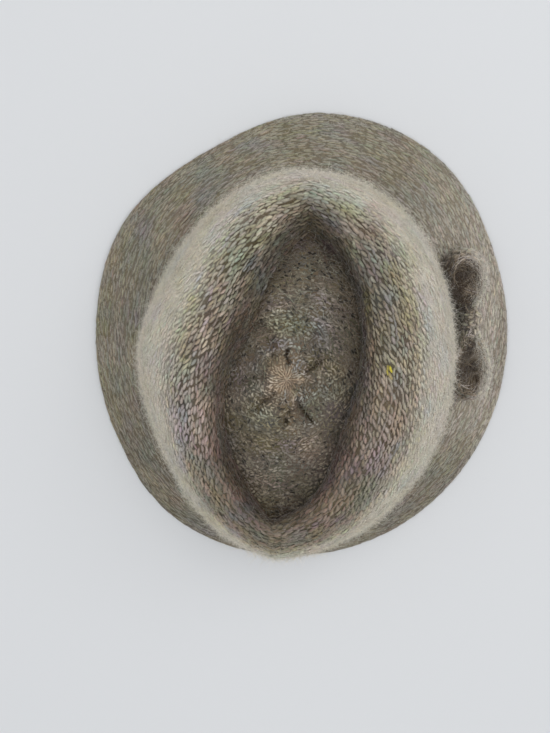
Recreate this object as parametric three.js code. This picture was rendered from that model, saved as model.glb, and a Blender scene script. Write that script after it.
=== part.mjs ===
// A knitted mohair hat: a soft oval crown pushed in along its middle to a lens-shaped dent,
// a sloping brim all round, and a small bow of two upright loops beside the crown.
//
// Millimetres, +Z up. The hat rests on its brim at Z = 0, with the brim's outline centred on the origin.
// The front of the hat faces -Y and the wearer's left is +X, so the bow sits on the wearer's right, at -X.

import * as THREE from "three";

// Driving sizes
const KNIT = 4; // thickness of the felted knit
const SEAM_GAP = 0.3; // clearance between pieces that are sewn together
const SEAM_HEIGHT = 30; // height of the seam between crown and brim
const HEM = 5; // thickness of the brim's rolled edge
const HEM_FLAT = 5; // width of the hem that lies flat on the table
const AROUND = 64; // points round every oval

// The crown's outer surface, from the seam up over the crest and down into the dent.
// height is at the sides and endLift is added to it at front and back.
// side, front and back are the reaches from the oval's middle, which lies at middle along Y.
// point runs from 0, a plain oval, to 1, a lens with a tip at front and back.
// lean moves an oval to the wearer's left, the more so at a lens's back tip and not at its front tip.
// wall and dent are the shares of the bumps of that kind that the oval takes.
// What a row leaves out is 0.
const CROWN_SECTIONS = [
  { name: "seam", height: SEAM_HEIGHT, endLift: 0, side: 84, front: 101, back: 104, point: 0 },
  { name: "lower wall", height: 46, endLift: 0, side: 88, front: 104, back: 111, point: 0.08, lean: 0.3, wall: 0.6 },
  { name: "bulge", height: 63, endLift: 0, side: 88.5, front: 105.5, back: 112.5, point: 0.15, lean: 0.7, wall: 1 },
  { name: "upper wall", height: 86, endLift: -1, side: 81.5, front: 103.5, back: 107, point: 0.2, lean: 1, wall: 1 },
  { name: "shoulder", height: 106, endLift: -4, side: 68, front: 99.5, back: 98, point: 0.28, lean: 1.4, wall: 0.8 },
  { name: "crest", height: 118, endLift: -4, side: 53, front: 93, back: 86.5, point: 0.33, lean: 1.7, wall: 0.4 },
  { name: "lip", height: 114, endLift: -3, side: 42.5, front: 88.5, back: 81.5, point: 0.45, lean: 2.3, dent: 0.15 },
  { name: "dent wall", height: 98, endLift: 0, side: 39.5, front: 83.5, back: 79.5, point: 0.55, lean: 2.8, dent: 0.55 },
  { name: "crease", height: 83, endLift: 4, side: 37.5, front: 79, back: 77, point: 0.6, lean: 3, dent: 1 },
  { name: "floor edge", height: 80.5, endLift: 3, side: 31, front: 66, back: 63, middle: 2, point: 0.5, lean: 3.3, dent: 1 },
  { name: "floor", height: 84, endLift: 1, side: 18, front: 37, back: 30, middle: 6, point: 0.25, lean: 3.8, dent: 0.4 },
  { name: "gather", height: 86, endLift: 0, side: 10, front: 15, back: 13, middle: 7, point: 0, lean: 4 },
  { name: "star", height: 85, endLift: 0, side: 2.5, front: 2.5, back: 2.5, middle: 7, point: 0, lean: 4 },
];
// Where the hand-shaped ovals are fuller or slacker: a bump fades to both sides of its turn over a width,
// both in degrees from the front towards the wearer's left, and size is its share of the reach.
const BUMPS = [
  { kind: "wall", turn: 55, width: 25, size: -0.045 },
  { kind: "wall", turn: 130, width: 25, size: -0.05 },
  { kind: "wall", turn: 325, width: 20, size: 0.03 },
  { kind: "dent", turn: 58, width: 52, size: -0.29 },
  { kind: "dent", turn: 197, width: 22, size: 0.19 },
];
const LENS_LEANS = 0.6; // the point value from which an oval leans as a lens does
const STEPS_OUTSIDE = 2; // rings to each section outside
const STEPS_INSIDE = 1; // rings to each section inside

// The nine creases that run out from the crown's closed centre. turn is measured from the front towards
// the wearer's left, and from and to are the distances from the centre between which the crease is deep.
const STAR_CREASES = [
  { turn: -2, depth: 3.2, from: 10, to: 14 },
  { turn: 14, depth: 1.2, from: 20, to: 34 },
  { turn: 50, depth: 0.9, from: 12, to: 22 },
  { turn: 97, depth: 1.1, from: 12, to: 22 },
  { turn: 141, depth: 3.0, from: 13.5, to: 18 },
  { turn: 186, depth: 2.6, from: 20, to: 22.5 },
  { turn: 212, depth: 4.5, from: 17.5, to: 26 },
  { turn: 249, depth: 1.4, from: 10, to: 20 },
  { turn: 302, depth: 3.2, from: 13, to: 18 },
];
const CREASE_HALF_WIDTH = 2.2; // half the width of a crease, across it
const CREASE_FADE = 4; // distance over which a crease fades out at each end

// How far the brim's edge reaches from the crown's middle, every 30 degrees from the front
// towards the wearer's left, and how far the soft edge lifts off the table there.
const BRIM_EDGE = [
  { turn: 0, reach: 143, lift: 0 },
  { turn: 30, reach: 132.8, lift: 0 },
  { turn: 60, reach: 132.5, lift: 1.5 },
  { turn: 90, reach: 126.6, lift: 2.5 },
  { turn: 120, reach: 127.1, lift: 1 },
  { turn: 150, reach: 134, lift: 0 },
  { turn: 180, reach: 132.5, lift: 0 },
  { turn: 210, reach: 129, lift: 0 },
  { turn: 240, reach: 126.1, lift: 1 },
  { turn: 270, reach: 126.2, lift: 2 },
  { turn: 300, reach: 131, lift: 1 },
  { turn: 330, reach: 142.4, lift: 0 },
];

// The brim's profile: out is the share of the way from the seam to the edge, and drop the share of the
// way down from the seam to the hem's top.
const BRIM_TOP = [
  { out: 0, drop: 0 },
  { out: 0.14, drop: 0.1 },
  { out: 0.34, drop: 0.29 },
  { out: 0.55, drop: 0.52 },
  { out: 0.76, drop: 0.77 },
  { out: 0.9, drop: 0.93 },
];
const BRIM_UNDER_SHARES = [0.66, 0.4, 0.16]; // rings of the underside, from the hem back to the seam

// The bow stands in the angle between crown and brim. Each loop is an upright band that leaves the knot,
// runs round a teardrop and comes back. toX and toY give the far end of the teardrop.
const KNOT = { x: -95.5, y: -32, halfX: 8, halfY: 5.5, height: 24, squareness: 3 };
const BOW_LOOPS = [
  { name: "bow_front_loop", toX: -90.5, toY: -68.5, halfWidth: 13.5, bandHeight: 25 },
  { name: "bow_back_loop", toX: -104.5, toY: 13.5, halfWidth: 13, bandHeight: 23 },
];
const BAND = 5.5; // thickness of the bow's band
const BAND_ENDS_APART = 6.6; // distance between the middles of a band's two ends at the knot
const BAND_STEPS = 26; // sections along a band
const REST_GAP = 0.5; // clearance of the bow over the brim

const KNIT_COLOUR = 0x8a8373;
const FUZZ_COLOUR = 0xa8a293;
const BOW_COLOUR = 0x746b60;

/** A periodic smooth curve through a column of a table whose rows are evenly spaced in turn. */
function roundTheTable(rows, column, angle) {
  const at = (((angle / (2 * Math.PI)) % 1) + 1) * rows.length;
  const row = Math.floor(at);
  const share = at - row;
  const [a, b, c, d] = [-1, 0, 1, 2].map((step) => rows[(row + step + rows.length) % rows.length][column]);
  const slopeIn = (c - a) / 2;
  const slopeOut = (d - b) / 2;
  const cubic = 2 * (b - c) + slopeIn + slopeOut;
  const square = 3 * (c - b) - 2 * slopeIn - slopeOut;
  return ((cubic * share + square) * share + slopeIn) * share + b;
}

/** How much of a bump is felt at an angle: 1 at its turn, falling off as exp(-(distance / width)^2). */
function bumpAt(bump, angle) {
  const away = THREE.MathUtils.euclideanModulo(THREE.MathUtils.radToDeg(angle) - bump.turn + 180, 360) - 180;
  return Math.exp(-((away / bump.width) ** 2));
}

/**
 * The reach of one section's oval at an angle: between an ellipse and a lens that has tips at front and
 * back, made fuller or slacker by the bumps.
 */
function ovalReach(section, angle) {
  const across = Math.abs(Math.sin(angle)) / section.side;
  const along = Math.abs(Math.cos(angle)) / (Math.cos(angle) > 0 ? section.front : section.back);
  const ellipse = 1 / Math.hypot(across, along);
  const lens = along < 1e-6 ? 1 / across : (Math.hypot(across, 2 * along) - across) / (2 * along * along);
  const full = BUMPS.reduce((sum, bump) => sum + (section[bump.kind] ?? 0) * bump.size * bumpAt(bump, angle), 1);
  return ((1 - section.point) * ellipse + section.point * lens) * full;
}

/** A point at a reach and angle from (0, middle), with angle 0 at the front and turning to the wearer's left. */
function onTheRound(angle, reach, height, middle = 0) {
  return new THREE.Vector3(reach * Math.sin(angle), middle - reach * Math.cos(angle), height);
}

/** The curve up and over the crown at one angle, through every section. */
function crownCurve(angle) {
  const points = CROWN_SECTIONS.map((section) => {
    const height = section.height + section.endLift * Math.cos(angle) ** 2;
    const point = onTheRound(angle, ovalReach(section, angle), height, section.middle);
    const lensLike = Math.min(section.point / LENS_LEANS, 1);
    point.x += (section.lean ?? 0) * (1 - Math.cos(angle) * lensLike);
    return point;
  });
  return new THREE.CatmullRomCurve3(points, false, "catmullrom", 0.5);
}

/** How far the surface sinks at a point of the dent's floor because of the star of creases. */
function creaseDepth(point) {
  const star = CROWN_SECTIONS.at(-1);
  const fromStar = new THREE.Vector2(point.x - star.lean, point.y - star.middle);
  const distance = fromStar.length();
  let depth = 0;
  for (const crease of STAR_CREASES) {
    const turn = THREE.MathUtils.degToRad(crease.turn);
    const along = new THREE.Vector2(Math.sin(turn), -Math.cos(turn));
    if (fromStar.dot(along) <= 0) continue;
    const across = fromStar.cross(along) / CREASE_HALF_WIDTH;
    const fadeIn = THREE.MathUtils.smoothstep(distance, crease.from - CREASE_FADE, crease.from);
    const fadeOut = 1 - THREE.MathUtils.smoothstep(distance, crease.to, crease.to + CREASE_FADE);
    depth += crease.depth * Math.exp(-across * across) * fadeIn * fadeOut;
  }
  return depth;
}

/** The rings of the crown, from the seam to the star. Inside is the same surface moved in by the knit. */
function crownRings(stepsPerSection, inside) {
  const count = (CROWN_SECTIONS.length - 1) * stepsPerSection;
  const curves = Array.from({ length: AROUND }, (_, j) => crownCurve((2 * Math.PI * j) / AROUND));
  const grid = Array.from({ length: count + 1 }, (_, i) => curves.map((curve) => curve.getPoint(i / count)));
  if (!inside) {
    for (const ring of grid) for (const point of ring) point.z -= creaseDepth(point);
    return grid;
  }
  return grid.map((ring, i) =>
    ring.map((point, j) => {
      const round = new THREE.Vector3().subVectors(ring[(j + 1) % AROUND], ring.at(j - 1));
      const up = curves[j].getTangent(i / count);
      const outward = round.cross(up).normalize();
      if (i === 0) outward.setZ(0).normalize();
      return point.clone().addScaledVector(outward, -KNIT);
    }),
  );
}

/**
 * Skins rings of equally many points into one closed body. Seen from outside, each ring runs to the right
 * and the next ring lies above it. joined closes the last ring onto the first; otherwise both ends get a cap.
 */
function skin(rings, joined) {
  const around = rings[0].length;
  const points = rings.flat();
  const index = [];
  const rows = joined ? rings.length : rings.length - 1;
  for (let i = 0; i < rows; i++) {
    const low = i * around;
    const high = ((i + 1) % rings.length) * around;
    for (let j = 0; j < around; j++) {
      const k = (j + 1) % around;
      index.push(low + j, low + k, high + k, low + j, high + k, high + j);
    }
  }
  if (!joined) {
    const last = (rings.length - 1) * around;
    const middleOf = (ring) => ring.reduce((sum, p) => sum.add(p), new THREE.Vector3()).divideScalar(around);
    const first = points.push(middleOf(rings[0])) - 1;
    const top = points.push(middleOf(rings.at(-1))) - 1;
    for (let j = 0; j < around; j++) {
      const k = (j + 1) % around;
      index.push(first, k, j, top, last + j, last + k);
    }
  }
  const geometry = new THREE.BufferGeometry().setFromPoints(points);
  geometry.setIndex(index);
  geometry.computeVertexNormals();
  return geometry;
}

/** The crown: inner surface from the star down to the seam, then outer surface from the seam up to the star. */
function crownGeometry() {
  return skin([...crownRings(STEPS_INSIDE, true).reverse(), ...crownRings(STEPS_OUTSIDE, false)], false);
}

const SEAM = CROWN_SECTIONS[0];

/** Height of the brim's upper surface, by angle and by the share of the way out from the seam. */
function brimTopHeight(angle, out) {
  const after = Math.max(1, BRIM_TOP.findIndex((row) => row.out >= out));
  const [a, b] = out > BRIM_TOP.at(-1).out ? BRIM_TOP.slice(-2) : [BRIM_TOP[after - 1], BRIM_TOP[after]];
  const drop = a.drop + ((b.drop - a.drop) * (out - a.out)) / (b.out - a.out);
  const seam = SEAM_HEIGHT - SEAM_GAP;
  return seam - (seam - HEM) * drop + roundTheTable(BRIM_EDGE, "lift", angle) * out * out;
}

/** A point of the brim's upper surface, or of a surface below it by depth. */
function brimPoint(angle, out, depth = 0) {
  const seam = ovalReach(SEAM, angle);
  const edge = roundTheTable(BRIM_EDGE, "reach", angle);
  return onTheRound(angle, seam + (edge - seam) * out, brimTopHeight(angle, out) - depth);
}

/** Height of the brim's upper surface under or over a point given by x and y. */
function brimHeightAt(x, y) {
  const angle = Math.atan2(x, -y);
  const seam = ovalReach(SEAM, angle);
  const out = (Math.hypot(x, y) - seam) / (roundTheTable(BRIM_EDGE, "reach", angle) - seam);
  return brimTopHeight(angle, THREE.MathUtils.clamp(out, 0, 1));
}

/** The brim: underside from the hem in to the seam, a collar that carries the crown, then the top out to the hem. */
function brimGeometry() {
  const angles = Array.from({ length: AROUND }, (_, j) => (2 * Math.PI * j) / AROUND);
  const ringOf = (pointAt) => angles.map(pointAt);
  const reachOf = (angle) => roundTheTable(BRIM_EDGE, "reach", angle);
  const liftOf = (angle) => Math.max(0, roundTheTable(BRIM_EDGE, "lift", angle));
  const slopeDepth = KNIT * 1.2;
  const collar = SEAM_HEIGHT - SEAM_GAP;
  const underside = [
    ringOf((a) => onTheRound(a, reachOf(a) - HEM / 2, liftOf(a))),
    ringOf((a) => onTheRound(a, reachOf(a) - HEM / 2 - HEM_FLAT, liftOf(a))),
    ...BRIM_UNDER_SHARES.map((out) => ringOf((a) => brimPoint(a, out, slopeDepth))),
    ringOf((a) => onTheRound(a, ovalReach(SEAM, a) - KNIT, collar - slopeDepth)),
    ringOf((a) => onTheRound(a, ovalReach(SEAM, a) - KNIT, collar)),
  ];
  const topside = [
    ...BRIM_TOP.map((row) => ringOf((a) => brimPoint(a, row.out))),
    ringOf((a) => onTheRound(a, reachOf(a) - HEM / 3, liftOf(a) + HEM * 0.9)),
    ringOf((a) => onTheRound(a, reachOf(a), liftOf(a) + HEM / 2)),
  ];
  return skin([...underside, ...topside].reverse(), true);
}

/** A flat teardrop from a knot to a far end: cos t along its length, and sin t times sin(t / 2) across it. */
function teardropCurve(loop) {
  const start = new THREE.Vector2(KNOT.x, KNOT.y);
  const along = new THREE.Vector2(loop.toX, loop.toY).sub(start);
  const toKnotFace = KNOT.halfY + SEAM_GAP + REST_GAP;
  start.addScaledVector(along, toKnotFace / Math.abs(along.y));
  along.set(loop.toX, loop.toY).sub(start);
  const across = new THREE.Vector2(-along.y, along.x).normalize();
  const widest = 0.77; // the largest value of sin t times sin(t / 2)
  const points = [];
  const corners = 12;
  const opening = 0.55; // where the teardrop is as wide as the band's two ends
  for (let i = 0; i <= corners; i++) {
    const t = opening + ((2 * Math.PI - 2 * opening) * i) / corners;
    const share = (Math.cos(opening) - Math.cos(t)) / (Math.cos(opening) + 1);
    const side = (Math.sin(t) * Math.sin(t / 2) * (loop.halfWidth - BAND / 2)) / widest;
    const atLeast = (Math.sign(side) * BAND_ENDS_APART) / 2;
    const offset = i === 0 || i === corners ? atLeast : side;
    const place = start.clone().addScaledVector(along, share).addScaledVector(across, offset);
    points.push(new THREE.Vector3(place.x, place.y, 0));
  }
  return new THREE.CatmullRomCurve3(points, false, "catmullrom", 0.5);
}

/** The band's section: across is its thickness and up its height, with a soft rounded top and bottom edge. */
const BAND_SECTION = [
  { across: -0.5, up: 0.1 },
  { across: -0.28, up: 0 },
  { across: 0.28, up: 0 },
  { across: 0.5, up: 0.1 },
  { across: 0.5, up: 0.88 },
  { across: 0.26, up: 1 },
  { across: -0.26, up: 1 },
  { across: -0.5, up: 0.88 },
];

/** One loop of the bow: the band's section carried round the teardrop, its lower edge following the brim. */
function bowLoopGeometry(loop) {
  const curve = teardropCurve(loop);
  const rings = [];
  for (let i = 0; i <= BAND_STEPS; i++) {
    const place = curve.getPoint(i / BAND_STEPS);
    const onward = curve.getTangent(i / BAND_STEPS);
    const side = new THREE.Vector3(-onward.y, onward.x, 0);
    const ring = BAND_SECTION.map(({ across, up }) => {
      const point = place.clone().addScaledVector(side, across * BAND);
      const foot = brimHeightAt(point.x, point.y) + REST_GAP;
      return point.setZ(foot + up * loop.bandHeight);
    });
    rings.push(ring);
  }
  return skin(rings, false);
}

/** The knot: rounded-square rings stacked upwards from the brim and drawn in at its top and foot. */
function knotGeometry() {
  const around = 16;
  const stack = [
    { up: 0, size: 0.8 },
    { up: 0.1, size: 0.95 },
    { up: 0.3, size: 1 },
    { up: 0.7, size: 1 },
    { up: 0.92, size: 0.9 },
    { up: 1, size: 0.65 },
  ];
  const power = 2 / KNOT.squareness;
  const bulge = (value) => Math.sign(value) * Math.abs(value) ** power;
  const rings = stack.map(({ up, size }) =>
    Array.from({ length: around }, (_, j) => {
      const angle = (2 * Math.PI * j) / around;
      const x = KNOT.x + size * KNOT.halfX * bulge(Math.cos(angle));
      const y = KNOT.y + size * KNOT.halfY * bulge(Math.sin(angle));
      return new THREE.Vector3(x, y, brimHeightAt(x, y) + REST_GAP + up * KNOT.height);
    }),
  );
  return skin(rings, false);
}

/** A named piece of the hat in one matt, woolly colour. */
function piece(name, geometry, colour) {
  const material = new THREE.MeshStandardMaterial({ color: colour, roughness: 0.95, metalness: 0 });
  const mesh = new THREE.Mesh(geometry, material);
  mesh.name = name;
  return mesh;
}

const hat = new THREE.Group();
const brim = piece("brim", brimGeometry(), KNIT_COLOUR);
hat.add(piece("crown", crownGeometry(), FUZZ_COLOUR));
hat.add(brim);
for (const loop of BOW_LOOPS) {
  hat.add(piece(loop.name, bowLoopGeometry(loop), BOW_COLOUR));
}
hat.add(piece("bow_knot", knotGeometry(), BOW_COLOUR));

// The brim's outline is centred on the origin.
const outline = new THREE.Box3().setFromObject(brim).getCenter(new THREE.Vector3());
hat.position.set(-outline.x, -outline.y, 0);

export default hat;
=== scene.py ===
# %% [markdown]
# # A mohair hat, knitted, pinched in and brushed
#
# The hat is one thick knitted fabric in two parts, a crown and a brim, with a small bow of two loops. Its
# yarn is heathered: many dyed fibres spun together, so that each stitch is a little beige, olive, lavender
# or blue-grey. Mohair is hairy, and the hairs that stand up from the lower crown make it look pale there.
# The colours of the lower crown are also painted paler there, as a painted sheen at grazing angles.
#
# Here the shapes come from a few tables of sizes, the stitches are small plump solids laid in rows on those
# shapes, and the hairs are fine needles that are rooted in them. All sizes are in millimetres until a mesh
# is made.

# %% Load the frame
import math

import bpy
import numpy as np
from mathutils import Matrix


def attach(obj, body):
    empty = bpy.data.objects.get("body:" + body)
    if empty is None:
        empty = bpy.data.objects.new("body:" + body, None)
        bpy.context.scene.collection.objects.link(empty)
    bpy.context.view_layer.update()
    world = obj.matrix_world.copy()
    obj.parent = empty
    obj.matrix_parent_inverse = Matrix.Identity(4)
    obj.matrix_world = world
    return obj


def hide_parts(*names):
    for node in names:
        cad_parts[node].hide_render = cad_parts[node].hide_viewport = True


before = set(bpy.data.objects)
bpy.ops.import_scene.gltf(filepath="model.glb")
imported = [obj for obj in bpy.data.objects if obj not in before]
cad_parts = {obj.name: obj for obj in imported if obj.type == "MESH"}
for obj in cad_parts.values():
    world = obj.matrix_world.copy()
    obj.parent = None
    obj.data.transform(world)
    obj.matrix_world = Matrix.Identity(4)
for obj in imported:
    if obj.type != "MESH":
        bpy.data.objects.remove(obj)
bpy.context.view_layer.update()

MM = 0.001
TAU = 2 * math.pi

# %% [markdown]
# ## The camera
#
# The hat was photographed from almost straight above, a hand's breadth in front of the crown. The camera
# leans by a few degrees, and the hat is turned a little under it, with its front at the top of the picture.
# The place is given as a photographer would: the point on the table that the lens looks at, the distance
# from there, two leans and a turn.

# %% Camera
CAMERA_DISTANCE = 640
CAMERA_AIM = (-15.2, -11.3)  # on the table, to the right of and above the crown's middle in the picture
LEAN_SIDEWAYS = math.radians(2.85)
LEAN_FORWARDS = math.radians(7.74)
HAT_TURN = math.radians(5.8)
FOCAL_LENGTH = 50.3  # on a sensor whose long side is 36 mm
CROWN_MIDDLE = np.array([-0.29, 5.26, 0.0])  # the middle of the crown's ovals, from the origin

back = np.array([
    math.sin(LEAN_SIDEWAYS),
    math.sin(LEAN_FORWARDS) * math.cos(LEAN_SIDEWAYS),
    math.cos(LEAN_FORWARDS) * math.cos(LEAN_SIDEWAYS),
])
right = np.array([1.0, 0.0, 0.0]) - back[0] * back
right /= np.linalg.norm(right)
up = np.cross(back, right)
eye = np.array([*CAMERA_AIM, 0.0]) + CAMERA_DISTANCE * back

camera_data = bpy.data.cameras.new("camera")
camera_data.lens = FOCAL_LENGTH
camera = bpy.data.objects.new("camera", camera_data)
bpy.context.collection.objects.link(camera)
in_the_picture = Matrix([
    [right[0], up[0], back[0], eye[0] * MM],
    [right[1], up[1], back[1], eye[1] * MM],
    [right[2], up[2], back[2], eye[2] * MM],
    [0, 0, 0, 1],
])
turned_to_the_hat = Matrix.Rotation(math.pi + HAT_TURN, 4, "Z")
at_the_crown = Matrix.Translation(CROWN_MIDDLE * MM)
camera.matrix_world = at_the_crown @ turned_to_the_hat @ in_the_picture
bpy.context.scene.camera = camera
bpy.context.scene.view_settings.view_transform = "Standard"
print("camera at", [round(v / MM) for v in camera.matrix_world.translation], "mm")

# %% [markdown]
# ## Table and light
#
# The hat stands on a smooth pale table in a bright room. Most of the light is even and comes from a pale sky
# and a wide ceiling panel, so the shadows are faint. A window at the picture's upper right adds a direction.

# %% Table and light
def sizes(columns, *rows):
    """A table of sizes: rows of numbers under named columns, the first of them words where it holds words."""
    kinds = ["U16" if isinstance(cell, str) else float for cell in rows[0]]
    return np.array(list(rows), dtype=list(zip(columns.split(), kinds)))


def set_inputs(node, values):
    """Gives a node's inputs their values, by the names that Blender shows."""
    for name, value in values.items():
        node.inputs[name].default_value = value


TABLE_SIZE = 5000
TABLE_COLOUR = (0.70, 0.71, 0.725, 1)
TABLE_ROUGHNESS = 0.6
SKY_COLOUR = (0.96, 0.98, 1.0, 1)
SKY_STRENGTH = 0.56
LAMPS = sizes(
    "name power size x y z",
    ("ceiling panel", 24, 2200, -100, -100, 2200),
    ("window", 5, 1100, -1000, -950, 1600),
)

half = TABLE_SIZE / 2 * MM
corners = [(-half, -half, 0), (half, -half, 0), (half, half, 0), (-half, half, 0)]
table_mesh = bpy.data.meshes.new("table")
table_mesh.from_pydata(corners, [], [(0, 1, 2, 3)])
table = bpy.data.objects.new("table", table_mesh)
bpy.context.collection.objects.link(table)

table_material = bpy.data.materials.new("smooth pale table")
table_material.use_nodes = True
table_shader = table_material.node_tree.nodes["Principled BSDF"]
set_inputs(table_shader, {"Base Color": TABLE_COLOUR, "Roughness": TABLE_ROUGHNESS})
table_mesh.materials.append(table_material)

sky = bpy.data.worlds.new("even pale sky")
sky.use_nodes = True
set_inputs(sky.node_tree.nodes["Background"], {"Color": SKY_COLOUR, "Strength": SKY_STRENGTH})
bpy.context.scene.world = sky

for row in LAMPS:
    lamp_data = bpy.data.lights.new(str(row["name"]), "AREA")
    lamp_data.energy = float(row["power"])
    lamp_data.size = float(row["size"]) * MM
    lamp = bpy.data.objects.new(str(row["name"]), lamp_data)
    bpy.context.collection.objects.link(lamp)
    lamp.location = [float(row[axis]) * MM for axis in "xyz"]
    lamp.rotation_euler = lamp.location.to_track_quat("Z", "Y").to_euler()
    print(lamp.name, "at", [round(v / MM) for v in lamp.location], "mm")

# %% [markdown]
# ## Helpers for wool
#
# Four things are needed again and again: soft random patches, the heathered colours of the yarn, a few small
# sums with grids and vectors, and a way to turn arrays of points and triangles into a finished piece. The
# colours are stored on the mesh as an attribute, so each stitch carries its own and the material only has to
# read it.

# %% Soft random patches
LATTICE = 24  # the random numbers repeat after so many steps


def patches(points, size, seed):
    """Soft random values from 0 to 1: random numbers on a cubic lattice, size apart, and between them a
    blend by 3t^2 - 2t^3 in each direction."""
    lattice = np.random.default_rng(seed).random((LATTICE, LATTICE, LATTICE))
    place = np.asarray(points, float) / size + 10 * LATTICE
    cell = np.floor(place).astype(int)
    share = place - cell
    share = share * share * (3 - 2 * share)
    value = np.zeros(place.shape[:-1])
    for corner in np.ndindex(2, 2, 2):
        weight = np.prod(np.where(corner, share, 1 - share), axis=-1)
        i, j, k = np.moveaxis((cell + corner) % LATTICE, -1, 0)
        value += weight * lattice[i, j, k]
    return value


# %% The yarn's colours
def linear(rgb):
    """A colour on the usual 0 to 255 scale as light: its share of 255 to the power 2.2."""
    return (np.array(rgb) / 255) ** 2.2


YARN = linear([
    (176, 164, 138),  # beige
    (142, 136, 100),  # olive
    (150, 138, 146),  # lavender
    (128, 136, 138),  # blue-grey
    (132, 142, 124),  # green-grey
    (140, 118, 100),  # brown
    (168, 148, 128),  # tan
])
PALE_HAIR = linear((231, 224, 210))
STAR_TAN = linear((176, 154, 127))
YARN_BIAS = np.array([0.08, 0.05, -0.02, -0.02, 0.0, -0.05, -0.02])
YARN_CONTRAST = 8
DYE_SPREAD = 0.03  # how far one stitch differs in red, green and blue from its neighbours
DYE_PATCH = 11  # a dye's patches in the fabric
DYE_LENGTH = 16  # a dye's length along the row
DYE_ROWS = 1.6  # and how many rows it keeps to
HAIR_TINT = 0.3  # the power by which pale hairs keep the yarn's colour


def heather(points, along, row, seed=0):
    """The yarn's colour: each dye has its own patches, partly in space and partly stretched along the row,
    and the dyes mix by weights that are exp(contrast x patch)."""
    track = np.stack([along / DYE_LENGTH, row / DYE_ROWS, np.zeros_like(row)], -1)
    weights = np.stack([
        0.65 * patches(points, DYE_PATCH, seed + dye)
        + 0.35 * patches(track, 1, seed + 20 + dye)
        + YARN_BIAS[dye]
        for dye in range(len(YARN))
    ], -1)
    weights = np.exp(YARN_CONTRAST * weights)
    weights /= weights.sum(-1, keepdims=True)
    return weights @ YARN


def brushed(points, along, row, seed=0):
    """The pale hairs keep a little of the colour of the yarn they come from."""
    return PALE_HAIR * (heather(points, along, row, seed) / YARN.mean(0)) ** HAIR_TINT


def shaded(colours, share):
    """Wool in its own shade turns browner: red, green and blue keep share^0.92, share and share^1.08."""
    share = np.asarray(share)
    return colours * np.stack([share**0.92, share, share**1.08], -1)


def blended(first, second, share):
    """From the first colours to the second by a share for each point."""
    share = np.reshape(share, (-1, 1))
    return first * (1 - share) + second * share


# %% Sums with grids and vectors
def ramp(value, low, high):
    """0 below low, 1 above high, and 3t^2 - 2t^3 between."""
    t = np.clip((value - low) / (high - low), 0, 1)
    return t * t * (3 - 2 * t)


def unit(vectors):
    """The same directions with length 1."""
    return vectors / np.linalg.norm(vectors, axis=-1, keepdims=True)


def over_grid(surface, first, second):
    """A surface's values for each of the first parameter's values with each of the second's."""
    return surface(*np.meshgrid(first, second, indexing="ij"))


def walked(points):
    """Distances from the first point along the line to each point; across a grid, their mean."""
    steps = np.linalg.norm(np.diff(points, axis=0), axis=-1)
    return np.concatenate([[0], np.cumsum(steps if steps.ndim == 1 else steps.mean(1))])


def smooth_between(a, b, c, d, t):
    """The smooth curve from b to c, t from 0 to 1, with a before them and d after: the cubic whose slope at
    each of the two is half the step between its neighbours."""
    m, n = (c - a) / 2, (d - b) / 2
    return ((2 * (b - c) + m + n) * t + 3 * (c - b) - 2 * m - n) * t * t + m * t + b


def finish_piece(name, points, triangles, colours, material, node):
    """One mesh object from points in mm about the crown's middle, with its colours in the attribute wool."""
    assert np.isfinite(points).all(), name
    mesh = bpy.data.meshes.new(name)
    mesh.vertices.add(len(points))
    mesh.vertices.foreach_set("co", ((points + CROWN_MIDDLE) * MM).astype(np.float32).ravel())
    mesh.loops.add(triangles.size)
    mesh.loops.foreach_set("vertex_index", triangles.astype(np.int32).ravel())
    mesh.polygons.add(len(triangles))
    mesh.polygons.foreach_set("loop_start", np.arange(0, triangles.size, 3, dtype=np.int32))
    mesh.polygons.foreach_set("use_smooth", np.ones(len(triangles), bool))
    mesh.update(calc_edges=True)
    wool = mesh.color_attributes.new("wool", "FLOAT_COLOR", "POINT")
    opaque = np.concatenate([colours, np.ones((len(points), 1))], 1)
    wool.data.foreach_set("color", opaque.astype(np.float32).ravel())
    mesh.materials.append(material)
    piece = bpy.data.objects.new(name, mesh)
    bpy.context.collection.objects.link(piece)
    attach(piece, "root")
    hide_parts(node)
    print(name, len(triangles), "triangles")
    return piece


def ring_triangles(rings, around, joined=False):
    """Triangles between rings of points that follow each other, two to each cell; joined also closes the last
    ring to the first."""
    i, j = np.meshgrid(np.arange(rings if joined else rings - 1), np.arange(around), indexing="ij")
    low, high, right_of = i * around, (i + 1) % rings * around, (j + 1) % around
    a, b, c, d = low + j, low + right_of, high + right_of, high + j
    return np.concatenate([np.stack([a, b, c], -1).reshape(-1, 3), np.stack([a, c, d], -1).reshape(-1, 3)])


def cap_triangles(ring, centre, upwards):
    """A fan from a centre point to a ring of points."""
    after = np.roll(ring, -1)
    fan = np.stack([np.full_like(ring, centre), ring, after], -1)
    return fan if upwards else fan[:, [0, 2, 1]]


def closed_tube(rings):
    """A body from rings that follow each other, with a middle point at each end."""
    count, around = rings.shape[:2]
    points = np.concatenate([rings.reshape(-1, 3), rings[:1].mean(1), rings[-1:].mean(1)])
    triangles = np.concatenate([
        ring_triangles(count, around),
        cap_triangles(np.arange(around), len(points) - 2, False),
        cap_triangles(np.arange(around) + (count - 1) * around, len(points) - 1, True),
    ])
    return points, triangles


# %% [markdown]
# ## The wool materials
#
# Knitted wool has no gloss, only a pale bloom at grazing angles where the light catches the hairs. The
# Principled shader's sheen gives that bloom. The colour comes from the stitches' own attribute, and a fine
# noise lightens and darkens it and roughens the surface, because a strand is itself a bundle of fibres.

# %% Wool material
SHEEN_TINT = (0.93, 0.90, 0.84, 1)


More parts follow.
